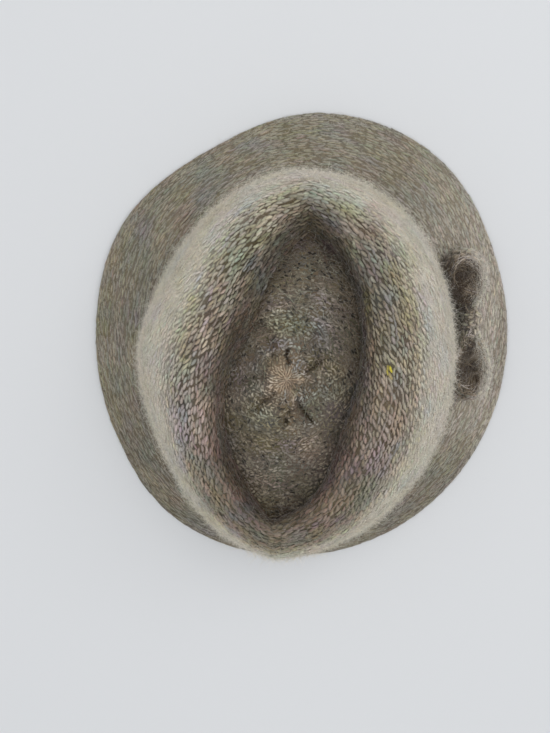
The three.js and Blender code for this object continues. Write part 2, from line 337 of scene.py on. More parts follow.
def wool_material(name, sheen, fibre_size, relief_height):
    """Matt wool: the attribute wool times a fine noise, a bump from the same noise, and sheen."""
    material = bpy.data.materials.new(name)
    material.use_nodes = True
    nodes, links = material.node_tree.nodes, material.node_tree.links
    shader = nodes["Principled BSDF"]
    set_inputs(shader, {"Roughness": 0.9, "Specular IOR Level": 0.15})
    set_inputs(shader, {"Sheen Weight": sheen, "Sheen Roughness": 0.45, "Sheen Tint": SHEEN_TINT})
    yarn = nodes.new("ShaderNodeAttribute")
    yarn.attribute_name = "wool"
    place = nodes.new("ShaderNodeTexCoord")
    fibres = nodes.new("ShaderNodeTexNoise")
    set_inputs(fibres, {"Scale": 1 / (fibre_size * MM), "Detail": 3, "Roughness": 0.6})
    links.new(place.outputs["Object"], fibres.inputs["Vector"])
    shade = nodes.new("ShaderNodeMapRange")
    set_inputs(shade, {"From Min": 0.25, "From Max": 0.75, "To Min": 0.72, "To Max": 1.22})
    links.new(fibres.outputs["Fac"], shade.inputs["Value"])
    tinted = nodes.new("ShaderNodeVectorMath")
    tinted.operation = "SCALE"
    links.new(yarn.outputs["Color"], tinted.inputs[0])
    links.new(shade.outputs["Result"], tinted.inputs["Scale"])
    links.new(tinted.outputs["Vector"], shader.inputs["Base Color"])
    relief = nodes.new("ShaderNodeBump")
    set_inputs(relief, {"Strength": 0.6, "Distance": relief_height * MM})
    links.new(fibres.outputs["Fac"], relief.inputs["Height"])
    links.new(relief.outputs["Normal"], shader.inputs["Normal"])
    return material


FELT = wool_material("felted ground", sheen=0.2, fibre_size=0.9, relief_height=0.5)
STITCHES = wool_material("mohair stitches", sheen=0.35, fibre_size=0.7, relief_height=0.25)
HAIRS = wool_material("mohair hairs", sheen=1.0, fibre_size=4, relief_height=0.05)
print("materials:", FELT.name, "/", STITCHES.name, "/", HAIRS.name)

# %% [markdown]
# ## The crown's shape
#
# The crown is a stack of ovals from the seam up over the crest and down into the dent. Each oval is a blend
# of an ellipse and a lens, because the dent pinches the front and back into tips. A smooth curve runs through
# the stack at every angle. At the dent's floor the knitting ends in a star, gathered by decreases, and the
# gathers run out from it as short creases.

# %% Crown sections
CROWN = sizes(
    "name height end_lift side front back middle point lean wall dent",
    ("seam", 30, 0, 84, 101, 104, 0, 0, 0, 0, 0),
    ("lower wall", 46, 0, 88, 104, 111, 0, 0.08, 0.3, 0.6, 0),
    ("bulge", 63, 0, 88.5, 105.5, 112.5, 0, 0.15, 0.7, 1, 0),
    ("upper wall", 86, -1, 81.5, 103.5, 107, 0, 0.2, 1, 1, 0),
    ("shoulder", 106, -4, 68, 99.5, 98, 0, 0.28, 1.4, 0.8, 0),
    ("crest", 118, -4, 53, 93, 86.5, 0, 0.33, 1.7, 0.4, 0),
    ("lip", 114, -3, 42.5, 88.5, 81.5, 0, 0.45, 2.3, 0, 0.15),
    ("dent wall", 98, 0, 39.5, 83.5, 79.5, 0, 0.55, 2.8, 0, 0.55),
    ("crease", 83, 4, 37.5, 79, 77, 0, 0.6, 3, 0, 1),
    ("floor edge", 80.5, 3, 31, 66, 63, 2, 0.5, 3.3, 0, 1),
    ("floor", 84, 1, 18, 37, 30, 6, 0.25, 3.8, 0, 0.4),
    ("gather", 86, 0, 10, 15, 13, 7, 0, 4, 0, 0),
    ("star", 85, 0, 2.5, 2.5, 2.5, 7, 0, 4, 0, 0),
)
BUMPS = sizes(  # where the hand-shaped ovals are fuller or slacker, by a share of their reach
    "kind turn width size",
    ("wall", 55, 25, -0.045), ("wall", 130, 25, -0.05), ("wall", 325, 20, 0.03),
    ("dent", 58, 52, -0.29), ("dent", 197, 22, 0.19),
)
SECTIONS = list(CROWN["name"])
CREASE, FLOOR_EDGE = SECTIONS.index("crease"), SECTIONS.index("floor edge")
GATHER, STAR = SECTIONS.index("gather"), SECTIONS.index("star")
STAR_MIDDLE = np.array([CROWN["lean"][STAR], CROWN["middle"][STAR], CROWN["height"][STAR]])
KNIT = 4  # thickness of the felted knit
LEANING_TIP = 0.6  # from this point on, an oval's front tip doesn't take part in its lean
print(len(CROWN), "sections, up to", 2 * CROWN["side"].max(), "mm wide and", CROWN["height"].max(), "mm high")


def bump(angle, turn, width):
    """exp(-(distance / width)^2) by the distance in degrees from a turn."""
    away = (angle - math.radians(turn) + math.pi) % TAU - math.pi
    return np.exp(-((away / math.radians(width)) ** 2))


def oval_reach(section, angle):
    """Reach of an oval: (1 - point) x ellipse + point x lens, the lens being x / side + (y / end)^2 = 1, times
    1 + the sum of the bumps."""
    end = np.where(np.cos(angle) > 0, section["front"], section["back"])
    across = np.abs(np.sin(angle)) / section["side"]
    along = np.maximum(np.abs(np.cos(angle)) / end, 1e-6)
    ellipse = 1 / np.hypot(across, along)
    lens = (np.hypot(across, 2 * along) - across) / (2 * along**2)
    full = 1 + sum(section[str(b["kind"])] * b["size"] * bump(angle, b["turn"], b["width"]) for b in BUMPS)
    return ((1 - section["point"]) * ellipse + section["point"] * lens) * full


def section_point(index, angle):
    """The point of section number index at an angle from the front towards the wearer's left."""
    section = CROWN[np.clip(index, 0, STAR)]
    reach = oval_reach(section, angle)
    height = section["height"] + section["end_lift"] * np.cos(angle) ** 2
    leaning = 1 - np.cos(angle) * np.minimum(section["point"] / LEANING_TIP, 1)
    across = reach * np.sin(angle) + section["lean"] * leaning
    return np.stack([across, section["middle"] - reach * np.cos(angle), height], -1)


def crown_curve(s, angle):
    """A smooth curve through the sections, where s counts sections from the seam."""
    s, angle = np.broadcast_arrays(s, angle)
    low = np.clip(np.floor(s).astype(int), 0, STAR - 1)
    t = (s - low)[..., None]
    b, c = section_point(low, angle), section_point(low + 1, angle)
    a = np.where((low > 0)[..., None], section_point(low - 1, angle), 2 * b - c)
    d = np.where((low < STAR - 1)[..., None], section_point(low + 2, angle), 2 * c - b)
    return smooth_between(a, b, c, d, t)


# %% Star creases and soft unevenness
STAR_CREASES = sizes(  # each a broad dip, and some with a dark slit at its bottom
    "turn dip slit start stop",
    (3, 1.8, 3.0, 9, 15), (30, 3.4, 0.3, 14, 34), (62, 1.8, 0, 12, 24), (97, 2.2, 0.4, 12, 30),
    (141, 3.0, 1.0, 11, 24), (186, 2.2, 2.2, 18, 24), (212, 2.8, 5.4, 15, 26), (255, 1.8, 0, 10, 22),
    (302, 3.0, 1.2, 12, 24), (335, 2.4, 0, 14, 30),
)
SLIT_HALF_WIDTH = 0.75
DIP_HALF_WIDTH = 3.6
CREASE_FADE = 2.5
CREASE_SWAY = 4
UNEVENNESS = 1.8
SWELL_FROM = np.array([0, 0, 60])  # the uneven fabric swells outwards from here
print(len(STAR_CREASES), "creases round the star,", (STAR_CREASES["slit"] > 1).sum(), "with a dark slit")


def crease_depth(points, kind, half_width):
    """Sum over the creases of depth x exp(-(distance across / width)^2), faded at both ends, for the dips or
    the slits. The distance across sways a little, so that no crease is straight, and the depth comes and
    goes."""
    x, y = points[..., 0] - STAR_MIDDLE[0], points[..., 1] - STAR_MIDDLE[1]
    distance = np.hypot(x, y)
    depth = np.zeros_like(distance)
    flat = points * np.array([1, 1, 0])
    sway = (patches(flat, 6, 72) - 0.5) * CREASE_SWAY
    gaps = 0.4 + 1.2 * patches(flat, 4, 74)
    for crease in STAR_CREASES:
        turn = math.radians(crease["turn"])
        forward = x * math.sin(turn) - y * math.cos(turn)
        across = (x * math.cos(turn) + y * math.sin(turn) + sway) / half_width
        ends = ramp(distance, crease["start"] - CREASE_FADE, crease["start"])
        ends = ends * (1 - ramp(distance, crease["stop"], crease["stop"] + CREASE_FADE))
        depth += np.where(forward > 0, crease[kind] * np.exp(-across**2) * ends, 0)
    return depth * gaps


def in_crease(points, kind, half_width, full_depth):
    """0 to 1 by how deep the creases are at a point."""
    return np.clip(crease_depth(points, kind, half_width) / full_depth, 0, 1)


# %% The crown's surface
def directions(surface, s, angle, step_s=0.02, step_angle=0.004):
    """Unit vectors round, up and out of a surface, from the steps between neighbouring points."""
    round_ = surface(s, angle + step_angle) - surface(s, angle - step_angle)
    rise = surface(s + step_s, angle) - surface(s - step_s, angle)
    out = unit(np.cross(round_, rise))
    round_ = unit(round_)
    return round_, np.cross(out, round_), out


def crown_surface(s, angle):
    """The crown's outer surface: the smooth curve, moved in or out by soft patches and sunk by the creases."""
    points = crown_curve(s, angle)
    free = ramp(s, 0.1, 1.0)[..., None]
    swell = (patches(points, 26, 70) - 0.5) * UNEVENNESS + (patches(points, 9, 71) - 0.5) * UNEVENNESS / 3
    points = points + unit(points - SWELL_FROM) * swell[..., None] * free
    dips = crease_depth(points, "slit", SLIT_HALF_WIDTH) + crease_depth(points, "dip", DIP_HALF_WIDTH)
    points[..., 2] -= np.where(s > CREASE - 1, dips, 0)
    return points


# %% Where the crown is pale, felted and dark
def paleness(s, angle):
    """How pale the fabric is made: partly by the brushed pale hairs that cover it, partly by a painted sheen,
    the bloom at grazing angles. Wholly on the wall, and not at all from the crest on. It reaches highest on the
    wearer's left, and higher at the front than at the back."""
    reach = 0.25 * np.sin(angle) ** 2 + 0.12 * np.sin(angle) + 0.15 * np.cos(angle)
    reach = reach + 0.3 * bump(angle, 46, 27) + 0.35 * bump(angle, 0, 18)
    return 1 - ramp(s, 3.1 + reach, 4.45 + 1.3 * reach)


def felting(s, angle):
    """How far the brushed hairs hide the stitches' relief: only where they lie thickest."""
    return ramp(paleness(s, angle), 0.4, 1.0)


def darkness(s, angle):
    """Painted shade in the dent: how much it darkens the fabric. It grows down the dent's wall, from higher up
    at the two tips, and is greatest at the front."""
    tips = np.cos(angle) ** 4
    depth = 0.76 + 0.02 * tips + 0.1 * np.cos(angle) - 0.32 * bump(angle, 24, 26)
    start = 4.9 - 0.7 * tips + 1.1 * bump(angle, 27, 34) - 0.5 * bump(angle, 230, 30)
    return ramp(s, start, 7.2) * depth


# %% [markdown]
# ## The crown's ground
#
# Under the stitches lies a closed shell of felt: the outer surface, the same surface moved in by the knit's
# thickness, and a flat end at the seam. It is painted darker than the stitches, as the shade that falls
# between them, where one looks down into the fabric.

# %% Crown shell
AROUND = 240
angles = np.arange(AROUND) * TAU / AROUND


def turn_of(points):
    """Each point's angle round the hat, from the front towards the wearer's left."""
    return np.arctan2(points[..., 0], -points[..., 1])


def crown_shell():
    """Rings of the inner surface from star to seam, then of the outer surface from seam to star, with a
    middle point at each end."""
    s_out = np.linspace(0, STAR, STAR * 8 + 1)
    s_in = np.linspace(STAR, 0, STAR * 3 + 1)
    outer = over_grid(crown_surface, s_out, angles)
    inward = -over_grid(lambda s, angle: directions(crown_curve, s, angle)[2], s_in, angles)
    inward[-1, :, 2] = 0
    inward[-1] = unit(inward[-1])
    inner = over_grid(crown_curve, s_in, angles) + inward * KNIT
    s = np.concatenate([np.repeat(np.concatenate([s_in, s_out]), AROUND), [STAR, STAR]])
    angle = np.concatenate([np.tile(angles, len(s_in) + len(s_out)), [0, 0]])
    return *closed_tube(np.concatenate([inner, outer])), s, angle


SHELL_ROUND = 95  # mm of row to a radian round the hat, for the dyes


def shell_colour(points, s, angle):
    """The heather in the fabric's painted shade between the stitches, pale under the brushed wall, where a
    sheen is painted too, and tan at the star, and darkest, with more painted shade, in the dent's wall and in
    the slits."""
    colours = heather(points, turn_of(points) * SHELL_ROUND, points[:, 2] / 2)
    on_floor = ramp(s, CREASE, FLOOR_EDGE + 0.4)
    # painted shade: the ground between the stitches is darkened, less on the floor and most down the dent's
    # wall
    colours = shaded(colours, 0.33 + 0.13 * on_floor - 0.17 * ramp(s, 5, 7) * (1 - on_floor))
    # pale brushed hairs and a painted sheen on the wall
    colours = blended(colours, 0.5 * colours + 0.75 * PALE_HAIR, paleness(s, angle))
    colours = blended(colours, 0.5 * STAR_TAN, ramp(s, GATHER - 0.5, GATHER + 0.5))
    # painted shade in the slits
    slit = in_crease(points, "slit", SLIT_HALF_WIDTH, 1.5) * ramp(s, CREASE - 1, CREASE)
    return shaded(colours, 1 - 0.75 * slit)


shell_points, shell_triangles, shell_s, shell_angle = crown_shell()
shell_colours = shell_colour(shell_points, shell_s, shell_angle)
finish_piece("crown_ground", shell_points, shell_triangles, shell_colours, FELT, "crown")

# %% [markdown]
# ## The brim's shape and ground
#
# The brim leaves the seam at a slope and ends in a rolled hem, half of which shows from above. Its edge is
# not a true oval: the front is widest, and the sides lift a little off the table.

# %% Brim shape
SEAM_HEIGHT = 29.7
HEM = 5
HEM_FLAT = 5
HEM_START = math.radians(58)  # where the slope runs into the roll, above the level
BRIM_EDGE = sizes(
    "reach lift",
    (143, 0), (132.8, 0), (132.5, 1.5), (126.6, 2.5), (127.1, 1), (134, 0),
    (132.5, 0), (129, 0), (126.1, 1), (126.2, 2), (131, 1), (142.4, 0),
)
BRIM_OUT = [0, 0.14, 0.34, 0.55, 0.76, 0.9, 1]
BRIM_DROP = [0, 0.1, 0.29, 0.52, 0.77, 0.93, 1.04]
BRIM_WAVES = 1.6
BRIM_WAVE_LENGTH = 38
print("brim from", BRIM_EDGE["reach"].min(), "to", BRIM_EDGE["reach"].max(), "mm out from the crown's middle")


def round_the_table(column, angle):
    """A periodic smooth curve through a column of the edge's table, whose rows are 30 degrees apart."""
    values = BRIM_EDGE[column]
    at = (angle / TAU % 1) * len(values)
    row = np.floor(at).astype(int)
    t = at - row
    return smooth_between(*(values[(row + step) % len(values)] for step in (-1, 0, 1, 2)), t)


def out_from_the_middle(reach, angle, height):
    """The point at a distance from the crown's middle, an angle and a height."""
    return np.stack([reach * np.sin(angle), -reach * np.cos(angle), height + 0 * reach], -1)


def brim_surface(w, angle):
    """The brim from the seam, w = 0, down the slope to the hem, w = 1, and round the roll to its foot, at
    w = 2."""
    w, angle = np.broadcast_arrays(w, angle)
    seam = oval_reach(CROWN[0], angle)
    edge = round_the_table("reach", angle)
    lift = np.maximum(round_the_table("lift", angle), 0)
    middle_reach, middle_height = edge - HEM / 2, lift + HEM / 2
    join_reach = middle_reach + HEM / 2 * math.cos(HEM_START)
    join_height = middle_height + HEM / 2 * math.sin(HEM_START)
    out = np.clip(w, 0, 1)
    drop = np.interp(out, BRIM_OUT, BRIM_DROP) / BRIM_DROP[-1]
    roll = HEM_START - np.clip(w - 1, 0, 1) * (HEM_START + math.pi / 2)
    slope_height = SEAM_HEIGHT + (join_height - SEAM_HEIGHT) * drop
    reach = np.where(w <= 1, seam + (join_reach - seam) * out, middle_reach + HEM / 2 * np.cos(roll))
    height = np.where(w <= 1, slope_height, middle_height + HEM / 2 * np.sin(roll))
    slack = ramp(w, 0.05, 0.4) * (1 - ramp(w, 1.0, 1.2))
    waves = patches(out_from_the_middle(reach, angle, 0), BRIM_WAVE_LENGTH, 80) - 0.5
    return out_from_the_middle(reach, angle, height + waves * BRIM_WAVES * slack)


def brim_height(x, y):
    """Height of the slope over a point of the table."""
    angle = turn_of(np.stack([x, y], -1))
    seam = oval_reach(CROWN[0], angle)
    edge = round_the_table("reach", angle) - HEM / 2
    return brim_surface(np.clip((np.hypot(x, y) - seam) / (edge - seam), 0, 1), angle)[..., 2]


# %% Brim shell
def brim_shell():
    """Closed rings: up the roll and slope to the seam, over the collar, and back along the underside."""
    depth = KNIT * 1.2
    w = np.concatenate([np.linspace(2, 1, 12), np.linspace(1, 0, 40)[1:]])
    top = over_grid(brim_surface, w, angles)
    under = over_grid(brim_surface, np.linspace(0.02, 0.72, 16), angles) - np.array([0, 0, depth])
    inner = oval_reach(CROWN[0], angles) - KNIT
    collar = [out_from_the_middle(inner, angles, height) for height in (SEAM_HEIGHT, SEAM_HEIGHT - depth)]
    lift = np.maximum(round_the_table("lift", angles), 0)
    flat = out_from_the_middle(round_the_table("reach", angles) - HEM / 2 - HEM_FLAT, angles, lift)
    rings = np.concatenate([top, collar, under, flat[None]])
    return rings.reshape(-1, 3), ring_triangles(len(rings), AROUND, joined=True)


# %% Brim ground
BRIM_ROUND = 120  # mm of row to a radian, for the dyes
BRIM_DYE = np.array([1.43, 1.5, 1.5])
# painted shade: the ground between the brim's stitches is darkened to this share
GAP_SHADE_SHARE = 0.36  # how light the ground is between the brim's stitches


def brim_colour(points, s, angle, row):
    """The same heather, mixed with pale hairs, most of them on the wearer's right and some at the front. It is
    painted dark behind the bow, as the bow's shade, and darker next to the crown's wall on the left, as the
    crown's shade, and a little darker at the back, on the left and on the hem beside the bow."""
    x, y = points[:, 0], points[:, 1]
    front, left = np.cos(angle), np.sin(angle)
    right = ramp(-left, 0.35, 0.9) * (1 - 0.9 * ramp(-front, 0.1, 0.6))
    front_wall = ramp(front, 0.5, 0.9) * (1 - ramp(s, 0.1, 0.5))
    pale = 0.18 + 0.72 * right + 0.12 * (1 - ramp(s, 0, 0.35)) + 0.25 * front_wall
    pale = pale + 0.08 * ramp(front, 0.6, 0.95)
    dyed = heather(points, angle * BRIM_ROUND, row, 40) * BRIM_DYE
    colour = blended(dyed, PALE_HAIR * (0.95 + 0.16 * right)[:, None], pale)
    # painted shade in the gap between the bow and the crown
    shade_behind_bow = np.exp(-((x + 88) / 9) ** 2 - ((y + 22) / 31) ** 4)
    share = (1 - (0.72 - 0.4 * ramp(y, -30, -14)) * shade_behind_bow) * (1 - 0.25 * ramp(-front, 0.2, 0.8))
    beside_bow = np.exp(-((y + 14) / 38) ** 4) * ramp(-x, 60, 100)
    share = share * (1 + beside_bow * (0.08 - 0.3 * ramp(-x, 116, 120)))
    # painted shade where the crown's wall meets the brim on the left
    shade_at_the_wall = (1 - ramp(s, 0.05, 0.4)) * ramp(left, 0.3, 0.8)
    return shaded(colour, share * (1 - 0.15 * shade_at_the_wall) * (1 - 0.08 * ramp(left, 0.2, 0.8)))


brim_points, brim_triangles = brim_shell()
brim_colours = brim_colour(brim_points, np.ones(len(brim_points)), turn_of(brim_points), brim_points[:, 2])
finish_piece("brim_ground", brim_points, brim_triangles, shaded(brim_colours, GAP_SHADE_SHARE), FELT, "brim")

# %% [markdown]
# ## Stitches
#
# Each stitch shows two legs that lie side by side like the halves of a V. In this hat the columns of V run
# round the head. A leg is a spindle: a point at each end that dives into the ground, and two or three rings
# between. Twelve to twenty-four triangles each are enough, because there are thousands.

# %% Rows of stitches
def leg_places(surface, start, stop, row_height, pitch, seed):
    """Places on a surface for legs: rows of equal height, measured on average round the hat, and in each row
    legs of equal pitch, measured along it. Returns the surface's two parameters and the row's number."""
    fine, turns = np.linspace(start, stop, 161), np.linspace(0, TAU, 361)
    climbed = walked(over_grid(surface, fine, np.arange(72) * TAU / 72))
    rows = int(climbed[-1] / row_height)
    heights = np.interp((np.arange(rows) + 0.5) * climbed[-1] / rows, climbed, fine)
    random = np.random.default_rng(seed)
    places = []
    for row, s in enumerate(heights):
        along = walked(surface(np.full(len(turns), s), turns))
        count = int(along[-1] / pitch)
        phase = random.random() if row % 2 == 0 else phase
        at = (np.arange(count) + phase) * along[-1] / count
        places.append([np.full(count, s), np.interp(at % along[-1], along, turns), np.full(count, row)])
    return [np.concatenate(column) for column in zip(*places)]


# %% One leg, and many of them
def spindle(rings, corners):
    """Points (along, across, outwards) and triangles of a leg: a point at each end, and between them rings,
    each with its place along the leg and its fullness, of corners given as across and outwards."""
    around = len(corners)
    middle = [(t, x * full, z * full) for t, full in rings for x, z in corners]
    first = np.arange(1, around + 1)
    last = first + (len(rings) - 1) * around
    triangles = np.concatenate([
        cap_triangles(first, 0, False),
        ring_triangles(len(rings), around) + 1,
        cap_triangles(last, len(middle) + 1, True),
    ])
    return np.array([(-1, 0, 0), *middle, (1, 0, 0)], float), triangles


PLUMP = spindle([(-0.58, 0.78), (0, 1), (0.58, 0.78)], [(1, 0), (0, 1), (-1, 0), (0, -1)])
SLIM = spindle([(-0.38, 1), (0.38, 1)], [(0.87, -0.5), (0, 1), (-0.87, -0.5)])
print("a plump leg has", len(PLUMP[1]), "triangles and a slim one", len(SLIM[1]))

LEG_RISE = 0.55
SUNK = 0.45  # the share of its rise by which a leg lies in the fabric
END_SHADE = 0.42
SIDE_SHADES = [0.4, 0.84, 1.12]  # of a leg's underside, sides and top
OFF_TABLE = 0.05  # no leg comes nearer to the table


def legs(form, centres, along, out, length, width, height, rise, colours, softness=0, curl=0):
    """Legs of one form: centre + t x half the length x along, widened across and outwards by the rings. The
    centre line rises by rise x (1 - t^2) from its sunk ends, and bows sideways by curl x (1 - t^2). Ends and
    undersides are painted darker and tops lighter, as painted shade and light, except where the wool is
    brushed soft."""
    shape, faces = form
    across = np.cross(out, along)
    soft = np.broadcast_to(softness, len(centres))[:, None, None]
    curl = np.broadcast_to(curl, len(centres))[:, None, None]
    t, x, z = (shape[:, column][None, :, None] for column in range(3))
    arch = 1 - t**2
    points = centres[:, None] + along[:, None] * t * length[:, None, None] / 2
    points = points + across[:, None] * (x * width[:, None, None] / 2 + curl * arch)
    points = points + out[:, None] * (z * height / 2 + rise * arch - SUNK * rise) * (1 - 0.8 * soft)
    points[..., 2] = np.maximum(points[..., 2], OFF_TABLE)
    triangles = faces[None] + np.arange(len(centres))[:, None, None] * len(shape)
    # painted shade on each leg's ends and underside, and painted light on its top
    shade = np.where(np.abs(shape[:, 0]) == 1, END_SHADE, np.interp(shape[:, 2], [-1, 0, 1], SIDE_SHADES))
    shade = (shade[None, :, None] * (1 - soft) + soft)[..., 0]
    return points.reshape(-1, 3), triangles.reshape(-1, 3), shaded(colours[:, None], shade).reshape(-1, 3)


# %% Knitting a surface
def knit(form, surface, places, spread, pitch, seed, colour_of, lean=8, slant=0, thickness=1.2,
         contrast=0.15, softness=None, row_wave=0.8, pairing=1.0, looseness=1.0, fill=0.98, stretch=1.6):
    """Legs at places on a surface, leaning to and fro by lean from row to row, and all by slant x sin of the
    angle, so that on both sides their front ends lean inwards. Of each pair of rows the one that leans more
    is fuller and paler, and the other lies half behind it. The rows wave, each leg is a little uneven, and
    a few are left out, which leaves dark holes. Each leg also has a slight tint of its own."""
    random = np.random.default_rng(seed)
    kept = random.random(len(places[0])) > 0.05 * looseness
    s, angle, row = (values[kept] for values in places)
    count = len(s)
    centres = surface(s, angle)
    round_, rise, out = directions(surface, s, angle)
    side = np.where(row % 2 == 0, 1, -1)
    front = pairing * np.where(side * np.sin(angle) < 0, 1, -1)[:, None]
    tilt = np.radians(side * lean - slant * np.sin(angle) + random.normal(0, 4 + 4 * looseness, count))
    along = round_ * np.cos(tilt)[:, None] + rise * np.sin(tilt)[:, None]
    wave = (patches(centres, 11, seed + 300) - 0.5)[:, None] * row_wave
    centres = centres + rise * (wave + random.normal(0, 0.06 + 0.08 * looseness, (count, 1)))
    centres = centres + round_ * random.normal(0, 0.4, (count, 1))
    centres = centres + out * (random.normal(0.05, 0.1 + 0.15 * looseness, (count, 1)) + 0.12 * front)
    length = pitch * stretch * random.uniform(1 - 0.3 * looseness, 1.15, count)
    width = spread * (fill + 0.1 * front[:, 0]) * random.uniform(0.8, 1.2, count)
    soft = softness(s, angle) if softness else 0
    contrast = (contrast * (1 - 0.7 * soft) * np.ones(count))[:, None]
    tones = 1 + contrast * (random.uniform(-1, 1, (count, 1)) + 0.7 * front)
    colours = colour_of(centres, s, angle, row) * tones
    colours = colours * (1 + DYE_SPREAD * random.normal(0, 1, (count, 3)))
    curl = random.normal(0, 0.22 * spread, count)
    return legs(form, centres, along, out, length, width, thickness, LEG_RISE, colours, soft, curl)


def knit_rows(form, surface, span, row_height, pitch, seed, colour_of, **manner):
    """Legs in rows over a span of a surface: their places, and then the legs there."""
    places = leg_places(surface, *span, row_height, pitch, seed)
    return knit(form, surface, places, row_height, pitch, seed + 1, colour_of, **manner)


# %% [markdown]
# ## Knitting the crown and the brim
#
# The crown's stitches are the coarser ones. They are laid from the seam to the foot of the dent's wall, and
# the dent's floor gets its own, which run out from the star. The brim is knitted tighter.

# %% Crown stitches
WALL_PITCH = 4.4
WALL_ROW = 1.9
RIDGE_START = 2.9
RIDGE_PITCH = 3.5
RIDGE_ROW = 1.62
CROWN_ROUND = 85  # mm of row to a radian, for the dyes
COOL = np.array([-0.06, 0.0, 0.03])  # tint of the ridge's front
MAUVE = np.array([0.05, -0.02, 0.07])  # tint of its back
# painted shade: down in the dent the wool is darkened, its green most
DENT_SHADE_TINT = np.array([0.05, 0.09, 0.05])
FLECK = (-48.3, -7.9)  # a fleck of yellow wool on the ridge
FLECK_SIZE = (1.4, 3)
FLECK_YELLOW = linear((206, 188, 66))


def crown_colour(points, s, angle, row):
    """The heather, paler on the wall, where the brushed hairs lie and a sheen is painted, and darker with
    painted shade down in the dent and at the back of the crest. The dyed wool is painted a little lighter on
    the wearer's left, as light from that side. The ridge is cooler at the front and mauve at the back."""
    front, left = np.cos(angle), np.sin(angle)
    # painted light: the dyed wool is a little lighter on the wearer's left
    dyed = heather(points, angle * CROWN_ROUND, row) * (1.2 + 0.12 * left)[:, None]
    pale = brushed(points, angle * CROWN_ROUND, row) * (0.95 + 0.06 * ramp(front, 0.55, 0.95))[:, None]
    # paler on the wall: brushed hairs and a painted sheen
    colour = blended(dyed, pale, paleness(s, angle) * 0.8)
    cool = ramp(front, 0.5, 0.95) * ramp(s, 3.5, 4.5)
    colour = colour * (1 + cool[:, None] * COOL)
    from_fleck = (points[:, :2] - FLECK) / FLECK_SIZE
    colour = blended(colour, FLECK_YELLOW, np.exp(-from_fleck[:, 0] ** 4 - from_fleck[:, 1] ** 4))
    deep = ramp(s, 4.4, 6) * (1 - ramp(s, 9, 10))
    mauve = ramp(-front, 0, 0.8) * ramp(s, 3.5, 4.5)
    colour = colour * (1 + mauve[:, None] * MAUVE - deep[:, None] * DENT_SHADE_TINT)
    # painted shade at the back of the crest
    shade_at_back_of_crest = ramp(-front, 0.55, 0.95) * ramp(s, 3.2, 4.4)
    uneven = np.maximum(1 + 1.1 * deep * (patches(points, 2.0, 97) - 0.5), 0.2)
    return shaded(colour, (1 - darkness(s, angle)) * (1 - 0.4 * shade_at_back_of_crest) * uneven)


wall = knit_rows(SLIM, crown_surface, (0.05, RIDGE_START), WALL_ROW, WALL_PITCH, 1, crown_colour,
                 lean=7, slant=20, contrast=0.2, softness=paleness, row_wave=1.6)
finish_piece("crown_wall_stitches", *wall, STITCHES, "crown")

ridge = knit_rows(PLUMP, crown_surface, (RIDGE_START, CREASE), RIDGE_ROW, RIDGE_PITCH, 3, crown_colour,
                  lean=10, slant=20, thickness=1.4, contrast=0.09, softness=felting, row_wave=1.6, fill=1.02)
finish_piece("crown_ridge_stitches", *ridge, STITCHES, "crown")

# %% Floor stitches
FLOOR_PITCH = 1.3
FLOOR_ROW = 2.3
FLOOR_REACH = 84
FLOOR_THICKNESS = 1.3
FLOOR_RISE = 0.6
FLOOR_ROUND = 25  # mm of row to a radian, for the dyes
FLOOR_TINT = np.array([1, 0.985, 1.04])
STEP = 0.4  # between points that are set against each other to find a direction


def floor_surface(radius, angle):
    """The dent's floor by distance and angle from the star: the height is looked up on the crown's curve by
    halving the range of sections until its reach from the star agrees."""
    low, high = np.full(np.shape(radius), CREASE - 1.0), np.full(np.shape(radius), float(STAR))
    for _ in range(14):
        middle = (low + high) / 2
        point = crown_curve(middle, angle) - STAR_MIDDLE
        beyond = np.hypot(point[..., 0], point[..., 1]) > radius
        low, high = np.where(beyond, middle, low), np.where(beyond, high, middle)
    return crown_surface((low + high) / 2, angle)


def floor_places(random):
    """Rings of places round the star, an equal distance apart and a little uneven, kept where they lie inside
    the crease. Returns their distances and angles from the star and the crease's distance there."""
    radii = np.arange(0.5, FLOOR_REACH, FLOOR_PITCH)
    counts = np.maximum(TAU * radii / np.interp(radii, [0, 7, 14], [1.2, 1.4, FLOOR_ROW]), 5).astype(int)
    radius = np.repeat(radii, counts)
    number = np.concatenate([np.arange(count) for count in counts])
    turn = (number + np.repeat(random.random(len(radii)), counts)) * TAU / np.repeat(counts, counts)
    radius = np.maximum(radius + random.normal(0, 0.55, len(radius)) * ramp(radius, 3, 9), 0.4)
    rim = np.linalg.norm((section_point(np.full(len(turn), CREASE), turn) - STAR_MIDDLE)[:, :2], axis=-1)
    inside = radius < rim - 0.5
    return radius[inside], turn[inside], rim[inside]


def floor_directions(radius, turn):
    """Unit vectors away from the star, sideways and up, from the steps between neighbouring points."""
    beyond_hub = np.maximum(radius, CROWN["side"][STAR] + 2 * STEP)
    away = floor_surface(beyond_hub + STEP, turn) - floor_surface(beyond_hub - STEP, turn)
    swing = STEP / beyond_hub
    sideways = floor_surface(beyond_hub, turn + swing) - floor_surface(beyond_hub, turn - swing)
    up_ = unit(np.cross(sideways, -away))
    away = unit(away)
    return away, np.cross(away, up_), up_


# %% The floor's colours
def mottle(points):
    """The felted floor's light and dark places, small ones in large ones."""
    return 0.51 + 0.42 * patches(points, 5, 90) + 0.56 * patches(points, 12, 96)


